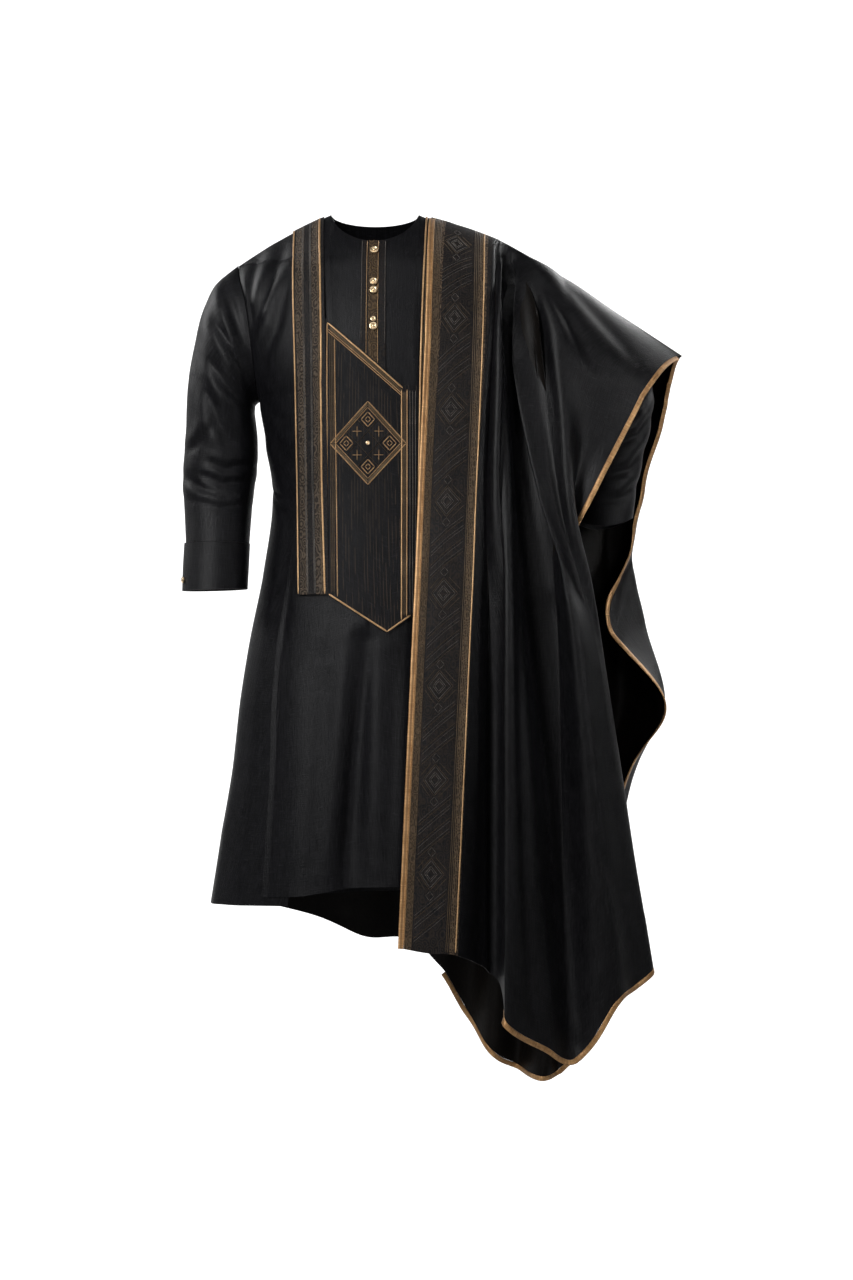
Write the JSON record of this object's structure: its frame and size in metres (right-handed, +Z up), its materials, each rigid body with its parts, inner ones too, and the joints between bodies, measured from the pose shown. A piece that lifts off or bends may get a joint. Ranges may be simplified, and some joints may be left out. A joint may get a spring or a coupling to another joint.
{
  "type": "agbada, worn robe and tunic",
  "caption": "Open embroidered robe draped over one arm on a collarless tunic, hollow as worn, with gold bindings and buttons.",
  "frame": {"origin": "midway between the shoulder points of the tunic's neck, where the wearer's shoulders carry it", "axes": "+X to the wearer's left, +Y to the wearer's back, +Z up"},
  "size_m": [0.7753, 0.354, 1.3573],
  "materials": {
    "black_cloth": "black satin-faced cloth with a fine slub",
    "embroidered_cloth": "black cloth with brown and gold stitching",
    "gold_binding": "bronze-gold satin binding",
    "gold_button": "polished gold-coloured metal"
  },
  "bodies": {
    "root": {"tunic_front": "black_cloth", "tunic_back": "black_cloth", "right_sleeve": "black_cloth", "left_sleeve": "black_cloth", "right_cuff": "black_cloth", "robe_front": "black_cloth", "robe_back": "black_cloth", "robe_band": "embroidered_cloth", "placket": "embroidered_cloth", "chest_panel": "embroidered_cloth", "right_strip": "embroidered_cloth", "left_strip": "embroidered_cloth", "band_binding": "gold_binding", "sleeve_front_binding": "gold_binding", "sleeve_back_binding": "gold_binding", "front_hem_binding": "gold_binding", "back_hem_binding": "gold_binding", "button_1": "gold_button", "button_2": "gold_button", "button_3": "gold_button", "button_4": "gold_button", "button_5": "gold_button", "cuff_button": "gold_button"}
  },
  "joints": []
}
